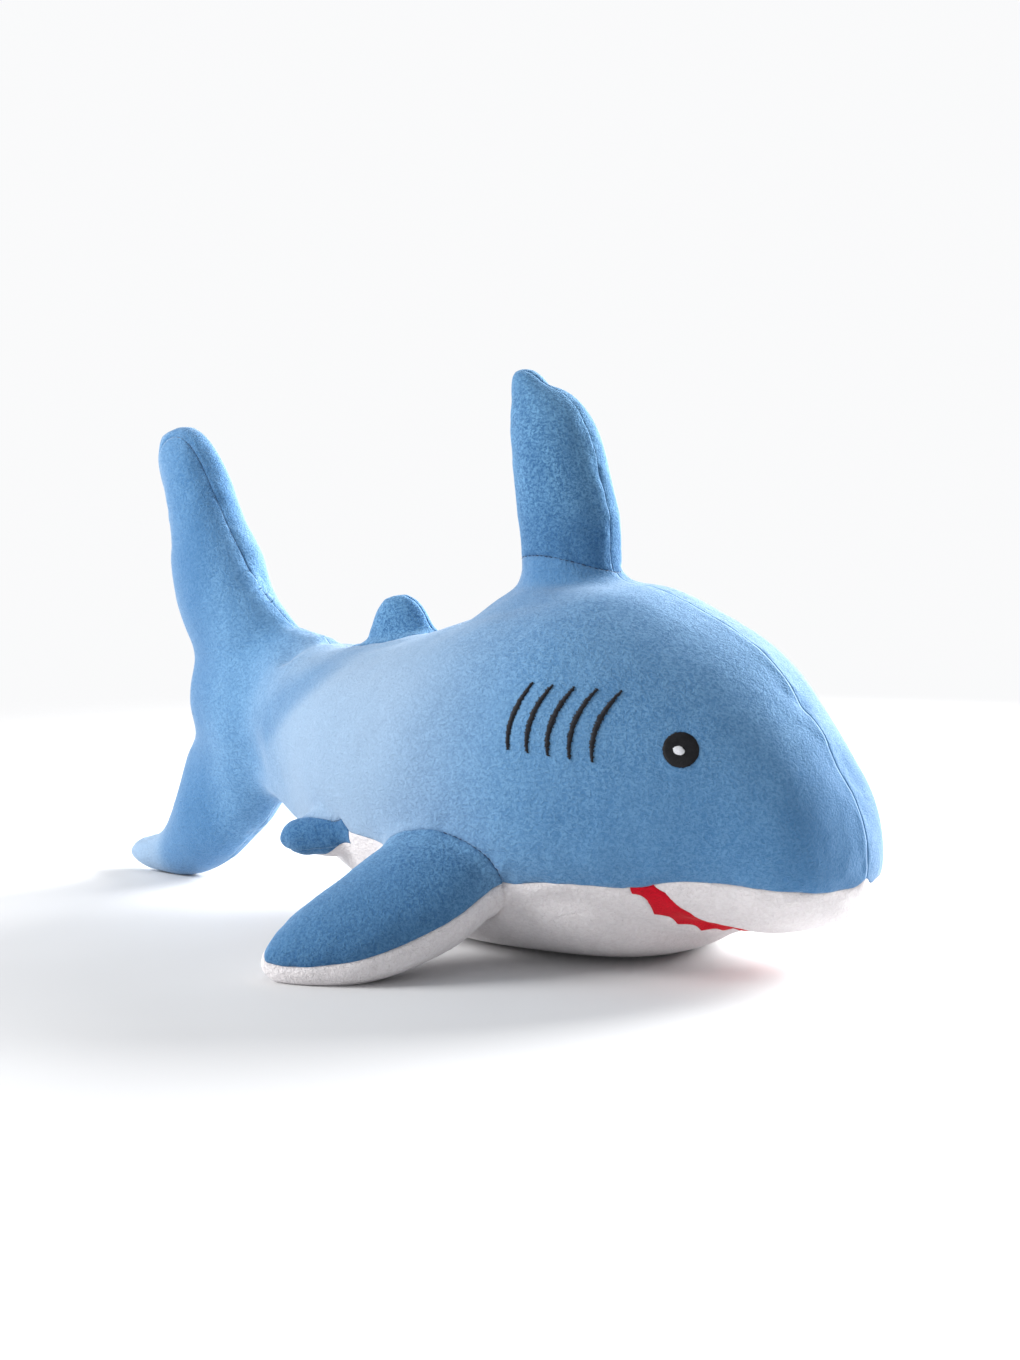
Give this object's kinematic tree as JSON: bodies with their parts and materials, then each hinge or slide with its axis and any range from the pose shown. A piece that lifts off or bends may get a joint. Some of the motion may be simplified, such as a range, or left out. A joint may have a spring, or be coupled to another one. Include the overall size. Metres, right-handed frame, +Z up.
{
  "type": "plush shark",
  "caption": "Stuffed plush shark with blue back, white belly, embroidered eyes and gill slits, red mouth lining and soft fins that flap on their seams.",
  "frame": {"origin": "on the ground, on the plane of symmetry, halfway between the nose and the tail tip", "axes": "+X from tail to nose, +Y to the shark's left, +Z up"},
  "size_m": [0.4999, 0.3478, 0.292],
  "materials": {
    "blue_plush": "short-pile plush",
    "fin_plush": "short-pile plush, slightly longer pile",
    "white_plush": "short-pile plush",
    "mouth_felt": "felt",
    "eye_thread": "satin-stitch embroidery",
    "glint_thread": "satin-stitch embroidery",
    "gill_thread": "satin-stitch embroidery",
    "fibre_filling": "polyester fibre filling"
  },
  "bodies": {
    "torso": {"left_side_panel": "blue_plush", "right_side_panel": "blue_plush", "belly_panel": "white_plush", "snout_panel": "white_plush", "mouth_lining": "mouth_felt", "torso_stuffing": "fibre_filling", "left_eye": "eye_thread", "right_eye": "eye_thread", "left_eye_glint": "glint_thread", "right_eye_glint": "glint_thread", "left_gill_stitches": "gill_thread", "right_gill_stitches": "gill_thread"},
    "tail": {"tail_left_panel": "fin_plush", "tail_right_panel": "fin_plush", "tail_stuffing": "fibre_filling"},
    "dorsal_fin": {"dorsal_fin_left_panel": "fin_plush", "dorsal_fin_right_panel": "fin_plush", "dorsal_fin_stuffing": "fibre_filling"},
    "rear_dorsal_fin": {"rear_dorsal_fin_left_panel": "fin_plush", "rear_dorsal_fin_right_panel": "fin_plush", "rear_dorsal_fin_stuffing": "fibre_filling"},
    "left_pectoral_fin": {"left_pectoral_fin_top_panel": "fin_plush", "left_pectoral_fin_bottom_panel": "white_plush", "left_pectoral_fin_stuffing": "fibre_filling"},
    "left_pelvic_fin": {"left_pelvic_fin_top_panel": "fin_plush", "left_pelvic_fin_bottom_panel": "fin_plush", "left_pelvic_fin_stuffing": "fibre_filling"},
    "right_pectoral_fin": {"right_pectoral_fin_top_panel": "fin_plush", "right_pectoral_fin_bottom_panel": "white_plush", "right_pectoral_fin_stuffing": "fibre_filling"},
    "right_pelvic_fin": {"right_pelvic_fin_top_panel": "fin_plush", "right_pelvic_fin_bottom_panel": "fin_plush", "right_pelvic_fin_stuffing": "fibre_filling"}
  },
  "joints": [
    {"name": "tail_bend", "type": "hinge", "parent": "torso", "child": "tail", "pos_m": [-0.112, 0, 0.101], "axis": [0, 0, 1], "range_deg": [-25, 25], "stiffness_Nm_per_rad": 0.6},
    {"name": "dorsal_sway", "type": "hinge", "parent": "torso", "child": "dorsal_fin", "pos_m": [0.084, 0, 0.19], "axis": [1, 0, 0], "range_deg": [-30, 30], "stiffness_Nm_per_rad": 0.25},
    {"name": "rear_dorsal_sway", "type": "hinge", "parent": "torso", "child": "rear_dorsal_fin", "pos_m": [-0.03, 0, 0.148], "axis": [0.995, 0, 0.0995], "range_deg": [-30, 30], "stiffness_Nm_per_rad": 0.08},
    {"name": "left_pectoral_flap", "type": "hinge", "parent": "torso", "child": "left_pectoral_fin", "pos_m": [0.074, 0.093, 0.044], "axis": [0.9874, 0, -0.158], "range_deg": [-10, 30], "stiffness_Nm_per_rad": 0.25},
    {"name": "right_pectoral_flap", "type": "hinge", "parent": "torso", "child": "right_pectoral_fin", "pos_m": [0.074, -0.093, 0.044], "axis": [-0.9874, 0, 0.158], "range_deg": [-10, 30], "stiffness_Nm_per_rad": 0.25},
    {"name": "left_pelvic_flap", "type": "hinge", "parent": "torso", "child": "left_pelvic_fin", "pos_m": [-0.012, 0.072, 0.054], "axis": [0.9285, 0.3714, 0], "range_deg": [-25, 25], "stiffness_Nm_per_rad": 0.08},
    {"name": "right_pelvic_flap", "type": "hinge", "parent": "torso", "child": "right_pelvic_fin", "pos_m": [-0.012, -0.072, 0.054], "axis": [-0.9285, 0.3714, 0], "range_deg": [-25, 25], "stiffness_Nm_per_rad": 0.08}
  ]
}
